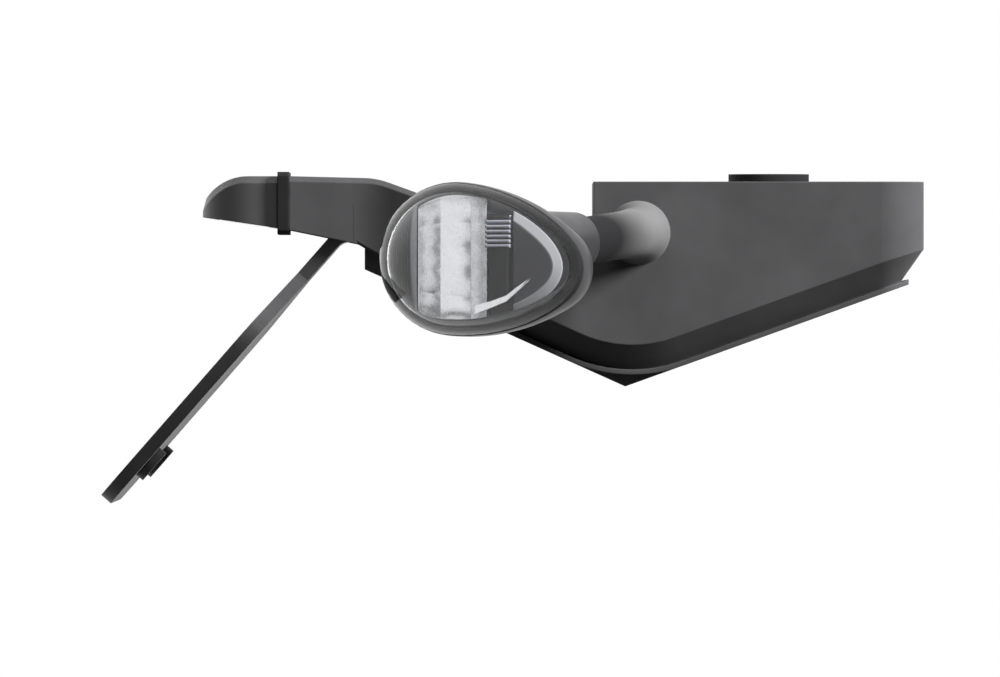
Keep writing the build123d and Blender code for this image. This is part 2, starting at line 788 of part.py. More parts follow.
def make_indicator_bezel():
    # A flat face on the rim, and a mask that runs on from it up the inside of the lens
    form = egg(LAMP_WALL + LAMP_FIT_GAP)
    flat = form & (outside_rim(-BEZEL_THICKNESS) - outside_rim(0))
    mask = (form - egg(LAMP_WALL + LAMP_FIT_GAP + MASK_WALL)) & outside_rim(0)
    return (flat - REFLECTOR_POCKET) + (mask - lens_window())


def make_indicator_reflector():
    reflector = reflector_form(REFLECTOR_WALL) - reflector_form(0)
    return reflector - outside_rim(0)


def make_indicator_board():
    # A bar on the bezel, beside the trough, with its row of light sources facing the trough
    on_rim = (Align.CENTER, Align.CENTER, Align.MIN)
    board = Box(LED_BOARD_WIDTH, LED_BOARD_HEIGHT, LED_BOARD_THICKNESS, align=on_rim)
    board = chamfer(board.edges().group_by(Axis.Z)[-1], LED_BOARD_EDGE)
    to_rear = (Align.MAX, Align.CENTER, Align.CENTER)
    for spot in GridLocations(1, LAMP_LED_SPACING, 1, LAMP_LED_COUNT):
        led = Box(LAMP_LED_HEIGHT, LAMP_LED_SIZE, LAMP_LED_SIZE, align=to_rear)
        board += Pos(-LED_BOARD_WIDTH / 2, 0, LED_BOARD_THICKNESS / 2) * spot * led
    return rim_plane(0) * Pos(LED_BOARD_SHIFT, 0, 0) * board


def make_indicator_stem():
    # A rubber rod with a flared foot, cut flat where it stands on the cheek
    sunk = STEM_BASE_R
    slope = (STEM_BASE_R - STEM_R) / STEM_FLARE
    foot_r = STEM_BASE_R + slope * sunk
    stem = cone(STEM_FOOT - STEM_AXIS * sunk, STEM_AXIS, foot_r, STEM_R, sunk + STEM_FLARE)
    stem += rod(STEM_FOOT + STEM_AXIS * STEM_FLARE, STEM_AXIS, STEM_R, STEM_LENGTH - STEM_FLARE)
    stem -= upright(Rectangle(REACH, BODY_WIDTH))
    return stem - rod(STEM_FOOT, RIGHT, STUD_R, STUD_GRIP)


def make_indicator_stud():
    return rod(stem_foot(-1, CHEEK - STUD_LENGTH), RIGHT, STUD_R, STUD_LENGTH + STUD_GRIP)


def make_indicator_washer():
    start = stem_foot(-1, CHEEK - WALL - WASHER_THICKNESS)
    washer = rod(start, RIGHT, WASHER_R, WASHER_THICKNESS)
    return washer - rod(start, RIGHT, STUD_R + STUD_HOLE_GAP, WASHER_THICKNESS)


def make_indicator_nut():
    start = stem_foot(-1, CHEEK - WALL - WASHER_THICKNESS - NUT_HEIGHT)
    plane = Plane(origin=start, x_dir=UP, z_dir=RIGHT)
    nut = extrude(plane * RegularPolygon(NUT_FLATS / 2, 6, major_radius=False), NUT_HEIGHT)
    return nut - rod(start, RIGHT, STUD_R + NUT_BORE_GAP, NUT_HEIGHT)


def pair(right):
    # A piece of the right indicator together with its twin on the left
    return Compound([right, mirrored(right)])


parts = {
    "shell": make_shell(),
    "mount_sleeves": make_mount_sleeves(),
    "wiring_grommet": make_wiring_grommet(),
    "under_cover": make_under_cover(),
    "cover_screws": make_cover_screws(),
    "plate_holder": make_plate_holder(),
    "plate_holder_inserts": make_plate_holder_inserts(),
    "plate_holder_bolts": make_plate_holder_bolts(),
    "plate_nuts": make_plate_nuts(),
    "light_gasket": make_light_gasket(),
    "light_housing": make_light_housing(),
    "light_lens": make_light_lens(),
    "light_board": make_light_board(),
    "light_screws": make_light_screws(),
    "indicator_stems": pair(make_indicator_stem()),
    "indicator_studs": pair(make_indicator_stud()),
    "indicator_washers": pair(make_indicator_washer()),
    "indicator_nuts": pair(make_indicator_nut()),
    "indicator_housings": pair(make_indicator_housing()),
    "indicator_seals": pair(make_indicator_seal()),
    "indicator_lenses": pair(make_indicator_lens()),
    "indicator_bezels": pair(make_indicator_bezel()),
    "indicator_reflectors": pair(make_indicator_reflector()),
    "indicator_boards": pair(make_indicator_board()),
}

os.makedirs("parts", exist_ok=True)
for name, shape in parts.items():
    export_step(shape, "parts/" + name + ".step")
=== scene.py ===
import bpy
import json
import math
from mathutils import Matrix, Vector


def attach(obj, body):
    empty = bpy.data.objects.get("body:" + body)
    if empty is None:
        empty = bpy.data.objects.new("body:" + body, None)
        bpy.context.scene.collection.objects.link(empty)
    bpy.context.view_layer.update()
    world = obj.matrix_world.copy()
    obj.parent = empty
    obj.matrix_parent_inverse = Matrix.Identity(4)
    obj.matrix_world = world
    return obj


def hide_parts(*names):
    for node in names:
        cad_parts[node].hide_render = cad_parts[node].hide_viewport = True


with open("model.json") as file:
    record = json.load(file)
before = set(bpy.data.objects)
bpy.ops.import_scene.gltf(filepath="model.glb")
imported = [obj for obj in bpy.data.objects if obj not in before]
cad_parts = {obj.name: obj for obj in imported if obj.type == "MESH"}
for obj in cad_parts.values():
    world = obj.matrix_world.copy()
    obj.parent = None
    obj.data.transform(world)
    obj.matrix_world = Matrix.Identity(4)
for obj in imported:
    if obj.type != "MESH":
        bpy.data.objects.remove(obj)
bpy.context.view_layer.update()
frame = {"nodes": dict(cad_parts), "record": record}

# Looks of the tail tidy. Metres, +X to the front of the motorbike, +Y to its left, +Z up.
MM = 0.001

# The side view of the photograph: a long lens, square to the right-hand side
VIEW_CENTRE = Vector((-63.4, 0.0, -36.75)) * MM
VIEW_WIDTH = 236.0 * MM
CAMERA_DISTANCE = 5.0
CAMERA_NEAR = 0.1
CAMERA_FAR = 100.0
SENSOR_WIDTH = 36.0

# Stage: floor, sky, and soft lamps with their places, sizes and powers
FLOOR_Z = -0.45
FLOOR_SIZE = 8.0
FLOOR_COLOUR = (0.3, 0.3, 0.297)
FLOOR_BOUNCE = (0.03, 0.03, 0.03)
FLOOR_GLOW = 0.75
FLOOR_ROUGHNESS = 0.9
FLOOR_CLOUD_SCALE = 3.0
FLOOR_CLOUD_SHADE = 0.02
SKY_FOR_DIFFUSE = 0.05
LIGHTS = {
    "key": ((1.8, -0.95, 1.1), 0.9, 110.0),
    "top": ((-0.2, -0.35, 1.7), 0.8, 14.0),
    "fill": ((-1.3, 1.3, 1.0), 0.9, 60.0),
}

# Egg of the lamps and the rim where housing and lens meet, as in the solids
LAMP_CENTRE = Vector((-73.4, -112.0, -18.4)) * MM
LAMP_R = 17.8 * MM
LAMP_TIP_R = 10.4 * MM
LAMP_TIP_AHEAD = 31.6 * MM
LAMP_TILT = math.radians(5.9)
RIM_OUT = 2.3 * MM
RIM_ANGLE = math.radians(8.0)
RIM_ORIGIN = LAMP_CENTRE - Vector((0, RIM_OUT, 0))

# Directions at the rim of the right lamp
UP = Vector((0, 0, 1))
FORWARD = Vector((math.cos(RIM_ANGLE), -math.sin(RIM_ANGLE), 0))
OUTWARD = Vector((-math.sin(RIM_ANGLE), -math.cos(RIM_ANGLE), 0))

# Reflector trough of the lamps
TROUGH_SHIFT = 1.0 * MM
TROUGH_LIFT = 2.0 * MM
TROUGH_R = 8.2 * MM
TROUGH_INSET = 3.0 * MM
TROUGH_BLOCK = 7.0 * MM
TROUGH_HALF_TURN = math.acos(TROUGH_LIFT / TROUGH_R)
FACETS_ACROSS = 3
FACETS_UP = 5
FACET_STEPS = 8
FACET_PILLOW = 0.3 * MM
END_WALL_STEPS = 4

# Fluted grey piece behind the rear end of the lens
FLUTE_REAR = -15.4 * MM
FLUTE_FRONT = -9.2 * MM
FLUTE_INSET = 2.3 * MM
FLUTE_COUNT = 9
FLUTE_DEPTH = 0.35 * MM
FLUTE_STEPS = 8
FLUTE_ROWS = 36

# Light bar with its fins, ahead of the trough
BAR_X = 10.0 * MM
BAR_WIDTH = 5.0 * MM
BAR_HEIGHT = 20.0 * MM
BAR_THICKNESS = 3.5 * MM
BAR_EDGE = 0.5 * MM
FIN_TOP = 11.2 * MM
FIN_COUNT = 8
FIN_PITCH = 1.1 * MM
FIN_THICKNESS = 0.75 * MM
FIN_PROUD = 0.7 * MM
FIN_EDGE = 0.2 * MM
LENS_CLEARANCE = 3.8 * MM

# Dark inner face with an edge painted pale as a highlight, ahead of the bar
FACE_START = 13.4 * MM
FACE_INSET = 2.7 * MM
FACE_LIFT = 1.6 * MM
FACE_EDGE = 2.2 * MM
FACE_RISE = 1.0 * MM
FACE_STEPS = 48

# Plated strip: places on the rim, forward and upward, and its width there, in millimetres
STRIP_PATH = (
    (4.8, -11.6, 2.0),
    (8.6, -10.4, 1.5),
    (12.2, -9.0, 1.4),
    (14.6, -7.0, 1.2),
    (17.6, -4.6, 0.6),
)
STRIP_LIFT = 5.0 * MM
STRIP_TILT = 0.8 * MM

# Belly and plan of the shell as in the solids, in millimetres and degrees
BODY_WIDTH = 80.0
CHIN_BACK = 34.0
CHIN_DEPTH = 48.0
FRONT_RISE = 19.8
KINK_BACK = 58.0
KINK_R = 30.0
ROOT_BACK = 97.0
ROOT_DEPTH = 19.7
ROOT_LIFT = 5.2
ARM_END_BACK = 113.0
ARM_WIDTH = 46.0
ARM_LOWER_RISE = 11.5
FLARE_FRONT_BACK = 50.0
FLARE_REAR_BACK = 93.5
FLARE_R = 25.0
ROUNDING_STEPS = 16

# Rear end of the bevel along the belly, in millimetres: full size ahead, hardly any at the arm.
# Across and upwards it reaches the given shares of its size.
BEVEL = 7.0
BEVEL_LEAST = 0.6
BEVEL_ACROSS = 1.073
BEVEL_UP = 1.157
BEVEL_COVER = 9.0
BEVEL_FULL_BACK = 64.0
BEVEL_GONE_BACK = 90.0
BEVEL_END_BACK = 97.8
BEVEL_STEPS = 40
BEVEL_PROUD = 0.03

# Rubber stems, with pale painted light on the foot that thins out between two distances from the middle
# of the motorbike
STEM_FOOT = Vector((-31.0, -BODY_WIDTH / 2, -12.0)) * MM
STEM_LENGTH = 30.0 * MM
STEM_BASE_R = 7.5 * MM
STEM_R = 5.5 * MM
STEM_FLARE = 4.0 * MM
STEM_STRAIGHT = 9.0 * MM
STEM_RINGS = 60
STEM_STEPS = 64
STEM_NUDGE = 0.01
PAINTED_LIGHT_FROM = 49.0 * MM
PAINTED_LIGHT_TO = 60.0 * MM

# Screws of the under cover, in millimetres: places forward and outward, seats above its outer face
COVER_SCREW_PLACES = ((10.0, 20.0), (-66.0, 17.0))
COVER_SCREW_SEAT = 4.6
COVER_SCREW = {"radius": 2.0, "length": 12.0, "head_radius": 3.8, "head_height": 2.2}

# Bolts of the holder, in millimetres
HOLDER_BOLT_X = -87.0
HOLDER_BOLT_OUT = 11.0
HOLDER_BOLT_SEAT_Z = -14.0
HOLDER_BOLT = {"radius": 2.5, "length": 9.0, "head_radius": 4.75, "head_height": 2.75}

# Heads with a bevelled edge in millimetres, and hexagon sockets: their width across flats for each
# head radius, and their depth as a share of the head's height
HEAD_EDGE = 0.35
SOCKET_FLATS = 1.1
SOCKET_SHARE = 0.6
SCREW_STEPS = 36

# Plastic, rubber and paint: noise scales, and how far the random shade, the lighter edges of wear with
# a painted highlight, and gloss vary
CLOUD_SCALE = 60.0
CLOUD_SHADE = 0.12
WEAR_AND_HIGHLIGHT_SCALE = 220.0
WEAR_AND_HIGHLIGHT_LEAST = 0.25
GLOSS_SCALE = 140.0
GLOSS_SPREAD = 0.06
GRAIN_DETAIL = 2.0
GRAIN_HEIGHT = 0.06 * MM
# Painted light on the stems' foot: noise scale of its patches, and their least share
PAINTED_LIGHT_PATCH_SCALE = 90.0
PAINTED_LIGHT_PATCH_LEAST = 0.8

# Sharp edges are told from flat faces by how far the rounded normal turns away
EDGE_SAMPLES = 6
EDGE_SHARP = 0.9
EDGE_FLAT = 0.99

# Metal: noise scales of stains, polish and fine marks
STAIN_SCALE = 420.0
STAIN_SHADE = 0.06
POLISH_SCALE = 900.0
MARK_SCALE = 3000.0
MARK_HEIGHT = 0.02 * MM

# Clear plastic: low refraction, a gloss coat, and a faint haze and waviness
CLEAR_IOR = 1.12
CLEAR_COAT = 0.6
CLEAR_COAT_ROUGHNESS = 0.03
HAZE_SCALE = 500.0
HAZE_SPREAD = 0.02
WAVE_SCALE = 120.0
WAVE_STRENGTH = 0.03
WAVE_HEIGHT = 0.2 * MM

# Limits of the geometry's arithmetic
REACH_STEPS = 40
LEAST_EDGE = 1e-7
LEAST_RUN = 1e-9


def bulge(share):
    # One in the middle and zero at both ends
    return 4 * share * (1 - share)


def ease(share):
    # A share that starts and ends slowly
    return share * share * (3 - 2 * share)


def without_repeats(face, points):
    # The corners of a face, apart from those that lie on the corner before
    return [i for n, i in enumerate(face) if (points[i] - points[face[n - 1]]).length > LEAST_EDGE]


class Build:
    # Points and faces of one piece, collected patch by patch
    def __init__(self):
        self.points = []
        self.faces = []

    def grid(self, rows, around=False, flip=False):
        # Rows of points joined by four-sided faces, each row closed to a ring where asked
        start = len(self.points)
        count = len(rows[0])
        for row in rows:
            self.points.extend(row)
        last = count if around else count - 1
        for i in range(len(rows) - 1):
            for j in range(last):
                a = start + i * count + j
                b = start + i * count + (j + 1) % count
                face = [a, b, b + count, a + count]
                self.faces.append(face[::-1] if flip else face)

    def fan(self, ring, centre, flip=False):
        # Triangles from a ring to one point
        start = len(self.points)
        self.points.extend(ring)
        self.points.append(centre)
        count = len(ring)
        for j in range(count):
            face = [start + j, start + (j + 1) % count, start + count]
            self.faces.append(face[::-1] if flip else face)

    def cap(self, ring):
        # One face over a ring
        start = len(self.points)
        self.points.extend(ring)
        self.faces.append(list(range(start, start + len(ring))))

    def mirror(self):
        # The same piece again on the other side of the motorbike
        count = len(self.points)
        self.points.extend([Vector((p.x, -p.y, p.z)) for p in self.points])
        self.faces.extend([[i + count for i in reversed(face)] for face in self.faces])


def new_object(name, build, slot, replaces=(), smooth=False, look=None):
    # A piece of the visual model, in the look of its slot or in one of its own
    mesh = bpy.data.meshes.new(name)
    whole = [without_repeats(face, build.points) for face in build.faces]
    mesh.from_pydata([tuple(p) for p in build.points], [], [face for face in whole if len(face) > 2])
    mesh.validate()
    mesh.update()
    for polygon in mesh.polygons:
        polygon.use_smooth = smooth
    piece = bpy.data.objects.new(name, mesh)
    bpy.context.scene.collection.objects.link(piece)
    mesh.materials.append(MATERIALS[look or slot])
    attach(piece, "root")
    if replaces:
        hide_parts(*replaces)


def rim_point(x, up, out):
    # A point of the right lamp from its place on the rim: forward, upward, outward
    return RIM_ORIGIN + FORWARD * x + UP * up + OUTWARD * out


def egg_depth(point):
    # Distance of a point from the egg's surface, below zero inside
    axis = Vector((math.cos(LAMP_TILT), 0, -math.sin(LAMP_TILT)))
    offset = point - LAMP_CENTRE
    along = offset.dot(axis)
    out = (offset - axis * along).length
    tip = LAMP_TIP_AHEAD - LAMP_TIP_R
    side_r = (tip**2 + LAMP_R**2 - LAMP_TIP_R**2) / (2 * (LAMP_R - LAMP_TIP_R))
    side_low = LAMP_R - side_r
    if along < 0:
        return math.hypot(along, out) - LAMP_R
    if math.atan2(along, out - side_low) < math.atan2(tip, -side_low):
        return math.hypot(along, out - side_low) - side_r
    return math.hypot(along - tip, out) - LAMP_TIP_R


def reach(start, direction, inset):
    # How far a point goes in a direction before it comes within the inset of the egg's surface
    low = 0.0
    high = 2 * LAMP_TIP_AHEAD
    for step in range(REACH_STEPS):
        middle = (low + high) / 2
        if egg_depth(start + direction * middle) < -inset:
            low = middle
        else:
            high = middle
    return low


def upright(foot, inset):
    # How far a point goes up, and how far down, within that inset
    return reach(foot, UP, inset), reach(foot, -UP, inset)


def trough_turns():
    steps = FACETS_ACROSS * FACET_STEPS
    return [-TROUGH_HALF_TURN + 2 * TROUGH_HALF_TURN * k / steps for k in range(steps + 1)]


def trough_place(turn):
    # Where the trough's round floor lies: forward and outward
    return -TROUGH_SHIFT + TROUGH_R * math.sin(turn), TROUGH_LIFT - TROUGH_R * math.cos(turn)


def trough_point(turn, share, pillow=0.0):
    # A point of the trough: turned about its upright axis, and a share of the height
    x, out = trough_place(turn)
    top, low = upright(rim_point(x, 0, out), TROUGH_INSET)
    height = -low + (top + low) * share
    return rim_point(x - pillow * math.sin(turn), height, out + pillow * math.cos(turn))


def trough_facet(column, level):
    # One facet of the trough, raised like a pillow between its edges
    shares = [k / FACET_STEPS for k in range(FACET_STEPS + 1)]
    rows = []
    for u in shares:
        turn = -TROUGH_HALF_TURN + (column + u) * 2 * TROUGH_HALF_TURN / FACETS_ACROSS
        row = []
        for v in shares:
            pillow = FACET_PILLOW * bulge(u) * bulge(v)
            row.append(trough_point(turn, (level + v) / FACETS_UP, pillow))
        rows.append(row)
    return rows


def trough_end(upper):
    # The plated wall that closes the trough at its top or at its foot
    rows = []
    for turn in trough_turns():
        x, deep = trough_place(turn)
        row = []
        for k in range(END_WALL_STEPS + 1):
            out = deep * (1 - k / END_WALL_STEPS)
            top, low = upright(rim_point(x, 0, out), TROUGH_INSET)
            row.append(rim_point(x, top if upper else -low, out))
        rows.append(row)
    return rows


def trough_rim():
    # The trough's opening in the plane of the rim: up the rear edge, along the top, down and back
    rise = FACETS_UP * FACET_STEPS
    rear = [trough_point(-TROUGH_HALF_TURN, k / rise) for k in range(rise + 1)]
    front = [trough_point(TROUGH_HALF_TURN, k / rise) for k in range(rise + 1)]
    upper = []
    lower = []
    for turn in trough_turns():
        foot = rim_point(trough_place(turn)[0], 0, 0)
        top, low = upright(foot, TROUGH_INSET)
        upper.append(foot + UP * top)
        lower.append(foot - UP * low)
    return rear[:-1] + upper[:-1] + front[:0:-1] + lower[:0:-1]


def make_reflectors():
    # A block with a plated trough of small pillow facets, closed above and below by plated walls
    build = Build()
    for column in range(FACETS_ACROSS):
        for level in range(FACETS_UP):
            build.grid(trough_facet(column, level), flip=True)
    build.grid(trough_end(False))
    build.grid(trough_end(True), flip=True)
    rim = trough_rim()
    back = [p - OUTWARD * TROUGH_BLOCK for p in rim]
    build.grid([rim, back], around=True)
    build.cap(back)
    build.mirror()
    new_object("lamp_reflectors", build, "reflector_chrome", ["indicator_reflectors"], smooth=True)


def block(build, x, up, width, height, thickness, edge):
    # A block on the rim with bevelled outer edges
    rings = []
    for inset, level in ((0, 0), (0, thickness - edge), (edge, thickness)):
        w = width / 2 - inset
        h = height / 2 - inset
        corners = [(-w, -h), (w, -h), (w, h), (-w, h)]
        rings.append([rim_point(x + cx, up + cy, level) for cx, cy in corners])
    build.grid(rings, around=True)
    build.cap(rings[-1])
    build.cap(rings[0][::-1])


def make_light_bars():
    # A dark bar beside the trough
    build = Build()
    block(build, BAR_X, 0, BAR_WIDTH, BAR_HEIGHT, BAR_THICKNESS, BAR_EDGE)
    build.mirror()
    new_object("lamp_light_bars", build, "board", ["indicator_boards"])


def room(x, up):
    # Height over the rim that is free under the lens
    return reach(rim_point(x, up, 0), OUTWARD, LENS_CLEARANCE)


def make_bar_fins():
    # Fine pale fins across the upper half of the bar
    build = Build()
    width = BAR_WIDTH + FIN_PROUD
    for i in range(FIN_COUNT):
        up = FIN_TOP - (i + 0.5) * FIN_PITCH
        free = min(room(BAR_X + width / 2, up), room(BAR_X - width / 2, up))
        height = min(BAR_THICKNESS + FIN_PROUD, free)
        block(build, BAR_X, up, width, FIN_THICKNESS, height, FIN_EDGE)
    build.mirror()
    new_object("lamp_bar_fins", build, "bezel_plastic", look="pale_plastic")


def make_flutes():
    # Upright flutes on a grey shell that lies close behind the rear end of the lens
    rows = []
    steps = FLUTE_COUNT * FLUTE_STEPS
    for i in range(steps + 1):
        x = FLUTE_REAR + (FLUTE_FRONT - FLUTE_REAR) * i / steps
        top, low = upright(rim_point(x, 0, 0), FLUTE_INSET)
        groove = FLUTE_DEPTH * (0.5 - 0.5 * math.cos(2 * math.pi * i / FLUTE_STEPS))
        row = []
        for j in range(FLUTE_ROWS + 1):
            turn = math.pi * j / FLUTE_ROWS
            up = (top - low) / 2 - (top + low) / 2 * math.cos(turn)
            lift = reach(rim_point(x, up, 0), OUTWARD, FLUTE_INSET + groove)
            row.append(rim_point(x, up, lift))
        rows.append(row)
    lower = [row[0] for row in rows]
    upper = [row[-1] for row in rows]
    rear = [rim_point(FLUTE_REAR, (point - RIM_ORIGIN).z, 0) for point in rows[0]]
    front = [rim_point(FLUTE_FRONT, (point - RIM_ORIGIN).z, 0) for point in rows[-1]]
    build = Build()
    build.grid([rear] + rows + [front], flip=True)
    build.cap(rear + upper + front[::-1] + lower[::-1])
    build.mirror()
    new_object("lamp_flutes", build, "bezel_plastic", smooth=True, look="fluted_plastic")


def face_outline():
    # The inner face ahead of the bar: the egg's outline, cut straight along the bar
    ring = []
    start = rim_point(FACE_START, 0, FACE_LIFT)
    for i in range(FACE_STEPS + 1):
        angle = math.radians(-90 + 180 * i / FACE_STEPS)
        direction = FORWARD * math.cos(angle) + UP * math.sin(angle)
        ring.append(start + direction * reach(start, direction, FACE_INSET))
    return ring


def make_inner_faces():
    # A dark raised face with a sloping edge painted pale as a highlight
    start = rim_point(FACE_START, 0, FACE_LIFT)
    outer = face_outline()
    flat = [start + (p - start) * (1 - FACE_EDGE / (p - start).length) for p in outer]
    inner = [p + OUTWARD * FACE_RISE for p in flat]
    foot = [p - OUTWARD * FACE_LIFT for p in outer]
    inner_foot = [p - OUTWARD * FACE_LIFT for p in flat]
    face = Build()
    face.grid([inner_foot, inner], around=True)
    face.cap(inner)
    face.cap(inner_foot[::-1])
    face.mirror()
    new_object("lamp_inner_faces", face, "bezel_plastic", look="inner_face_plastic")
    edge = Build()
    edge.grid([foot, outer, inner, inner_foot, foot], around=True)
    edge.mirror()
    # The edge's pale look is a painted highlight
    new_object("lamp_inner_edges", edge, "bezel_plastic", look="edge_plastic")


def make_strips():
    # A bright plated edge from the foot of the trough along the lower edge of the inner face
    lines = [[], [], [], []]
    for x, up, width in STRIP_PATH:
        top = (up + width / 2) * MM
        low = (up - width / 2) * MM
        corners = ((top, STRIP_LIFT), (low, STRIP_LIFT + STRIP_TILT), (low, 0), (top, 0))
        for line, (height, out) in zip(lines, corners):
            line.append(rim_point(x * MM, height, out))
    build = Build()
    build.grid(lines + [lines[0]], flip=True)
    build.cap([line[0] for line in lines][::-1])
    build.cap([line[-1] for line in lines])
    build.mirror()
    new_object("lamp_strips", build, "reflector_chrome")


def keel(x):
    # Height of the under cover's outer face, in millimetres
    if x > -CHIN_BACK:
        return -CHIN_DEPTH + (x + CHIN_BACK) * math.tan(math.radians(FRONT_RISE))
    return -CHIN_DEPTH + (-CHIN_BACK - x) * (CHIN_DEPTH - ROOT_DEPTH) / (ROOT_BACK - CHIN_BACK)


def rounded_path(corners):
    # A line through corners, each rounded with its own radius
    points = []
    for i, (x, y, radius) in enumerate(corners):
        corner = Vector((x, y))
        if radius == 0:
            points.append(corner)
            continue
        before = (Vector(corners[i - 1][:2]) - corner).normalized()
        after = (Vector(corners[i + 1][:2]) - corner).normalized()
        half = before.angle(after) / 2
        centre = corner + (before + after).normalized() * radius / math.sin(half)
        start = corner + before * radius / math.tan(half) - centre
        end = corner + after * radius / math.tan(half) - centre
        for step in range(ROUNDING_STEPS + 1):
            share = step / ROUNDING_STEPS
            turned = (start * (1 - share) + end * share).normalized() * radius
            points.append(centre + turned)
    return points


def value_at(path, x):
    # Height of a path over one place, between its two nearest points
    ordered = sorted(path, key=lambda point: point.x)
    for low, high in zip(ordered, ordered[1:]):
        if low.x <= x <= high.x:
            share = (x - low.x) / max(high.x - low.x, LEAST_RUN)
            return low.y + (high.y - low.y) * share
    return ordered[0].y if x < ordered[0].x else ordered[-1].y


def belly_path():
    # Lower edge of the shell's side, from the chin to the end of the arm
    root = keel(-ROOT_BACK) + ROOT_LIFT
    arm_end = root + (ARM_END_BACK - ROOT_BACK) * math.tan(math.radians(ARM_LOWER_RISE))
    return rounded_path([
        (-CHIN_BACK, -CHIN_DEPTH, 0),
        (-KINK_BACK, keel(-KINK_BACK), KINK_R),
        (-ROOT_BACK, root, 0),
        (-ARM_END_BACK, arm_end, 0),
    ])


def plan_path():
    # The shell's side seen from above, from the cheek over the flare to the arm
    return rounded_path([
        (-CHIN_BACK, BODY_WIDTH / 2, 0),
        (-FLARE_FRONT_BACK, BODY_WIDTH / 2, FLARE_R),
        (-FLARE_REAR_BACK, ARM_WIDTH / 2, FLARE_R),
        (-ARM_END_BACK, ARM_WIDTH / 2, 0),
    ])


def make_bevel_ends():
    # The bevel along the belly runs out towards the arm, so the flare keeps its full depth there
    belly = belly_path()
    plan = plan_path()
    rows = []
    for i in range(BEVEL_STEPS + 1):
        x = -BEVEL_FULL_BACK - (BEVEL_END_BACK - BEVEL_FULL_BACK) * i / BEVEL_STEPS
        side = value_at(plan, x) + BEVEL_PROUD
        low = value_at(belly, x)
        gone = min((-BEVEL_FULL_BACK - x) / (BEVEL_GONE_BACK - BEVEL_FULL_BACK), 1.0)
        size = BEVEL + (BEVEL_LEAST - BEVEL) * ease(gone)
        profile = [
            (side - BEVEL_COVER, low),
            (side - size * BEVEL_ACROSS, low),
            (side, low + size * BEVEL_UP),
            (side, low + BEVEL_COVER),
            (side - BEVEL / 2, low + BEVEL_COVER),
        ]
        rows.append([Vector((x, -y, z)) * MM for y, z in profile])
    build = Build()
    build.grid(rows, around=True)
    build.cap(rows[-1])
    build.cap(rows[0][::-1])
    build.mirror()
    new_object("belly_bevel_ends", build, "shell_plastic", look="fairing_plastic")


def stem_path(axis, share):
    # Straight out from the cheek, then in a soft bend into the line of the lamp's neck
    neck = STEM_FOOT + axis * STEM_LENGTH
    controls = (
        STEM_FOOT,
        STEM_FOOT + Vector((0, -STEM_STRAIGHT, 0)),
        neck - axis * STEM_STRAIGHT,
        neck,
    )
    weights = ((1 - share)**3, 3 * share * (1 - share)**2, 3 * share**2 * (1 - share), share**3)
    place = Vector()
    for control, weight in zip(controls, weights):
        place += control * weight
    return place


def make_stems():
    # Rubber trumpets: flared at the foot on the cheek, then a plain round rod to the lamp's neck
    axis = (LAMP_CENTRE - STEM_FOOT).normalized()
    rows = []
    run = 0.0
    last = STEM_FOOT
    for i in range(STEM_RINGS + 1):
        share = i / STEM_RINGS
        centre = stem_path(axis, share)
        run += (centre - last).length
        last = centre
        ahead = stem_path(axis, share + STEM_NUDGE) - stem_path(axis, share - STEM_NUDGE)
        normal = ahead.normalized()
        across = (Vector((1, 0, 0)) - normal * normal.x).normalized()
        upward = across.cross(normal)
        radius = STEM_R + (STEM_BASE_R - STEM_R) * math.exp(-run / STEM_FLARE)
        row = []
        for j in range(STEM_STEPS):
            angle = 2 * math.pi * j / STEM_STEPS
            row.append(centre + across * radius * math.cos(angle) + upward * radius * math.sin(angle))
        rows.append(row)
    build = Build()
    build.grid(rows, around=True, flip=True)
    build.cap(rows[0])
    build.cap(rows[-1][::-1])
    build.mirror()
    # The stems' look paints light on their flared foot
    new_object("stems", build, "rubber", ["indicator_stems"], smooth=True, look="dusty_rubber")


def ring_at(centre, radius, drop):
    turns = [2 * math.pi * j / SCREW_STEPS for j in range(SCREW_STEPS)]
    return [centre + Vector((radius * math.cos(t), radius * math.sin(t), -drop)) * MM for t in turns]


def hexagon_at(centre, flats, drop):
    # A hexagon with as many points as the round rings
    ring = []
    for j in range(SCREW_STEPS):
        turn = 2 * math.pi * j / SCREW_STEPS
        part = (turn + math.pi / 6) % (math.pi / 3) - math.pi / 6
        radius = flats / 2 / math.cos(part)
        ring.append(centre + Vector((radius * math.cos(turn), radius * math.sin(turn), -drop)) * MM)
    return ring


def socket_screw(build, seat, radius, length, head_radius, head_height):
    # Shank upwards from the seat, head downwards, and the socket in the head's lower face
    flats = head_radius * SOCKET_FLATS
    socket_drop = head_height * (1 - SOCKET_SHARE)
    rings = [
        ring_at(seat, radius, -length),
        ring_at(seat, radius, 0),
        ring_at(seat, head_radius, 0),
        ring_at(seat, head_radius, head_height - HEAD_EDGE),
        ring_at(seat, head_radius - HEAD_EDGE, head_height),
        hexagon_at(seat, flats, head_height),
        hexagon_at(seat, flats, socket_drop),
    ]
    build.grid(rings, around=True, flip=True)
    build.fan(rings[0], seat + UP * length * MM)
    build.fan(rings[-1], seat - UP * socket_drop * MM, flip=True)


def make_screws(name, node, seats, screw):
    build = Build()
    for seat in seats:
        socket_screw(build, Vector(seat) * MM, **screw)
    new_object(name, build, "steel", [node])


def make_all_screws():
    # Four screws of the under cover and two bolts of the holder
    covers = [(x, s * y, keel(x) + COVER_SCREW_SEAT) for x, y in COVER_SCREW_PLACES for s in (1, -1)]
    make_screws("cover_socket_screws", "cover_screws", covers, COVER_SCREW)
    holders = [(HOLDER_BOLT_X, s * HOLDER_BOLT_OUT, HOLDER_BOLT_SEAT_Z) for s in (1, -1)]
    make_screws("holder_socket_bolts", "plate_holder_bolts", holders, HOLDER_BOLT)


def set_input(node, name, value):
    node.inputs[name].default_value = value


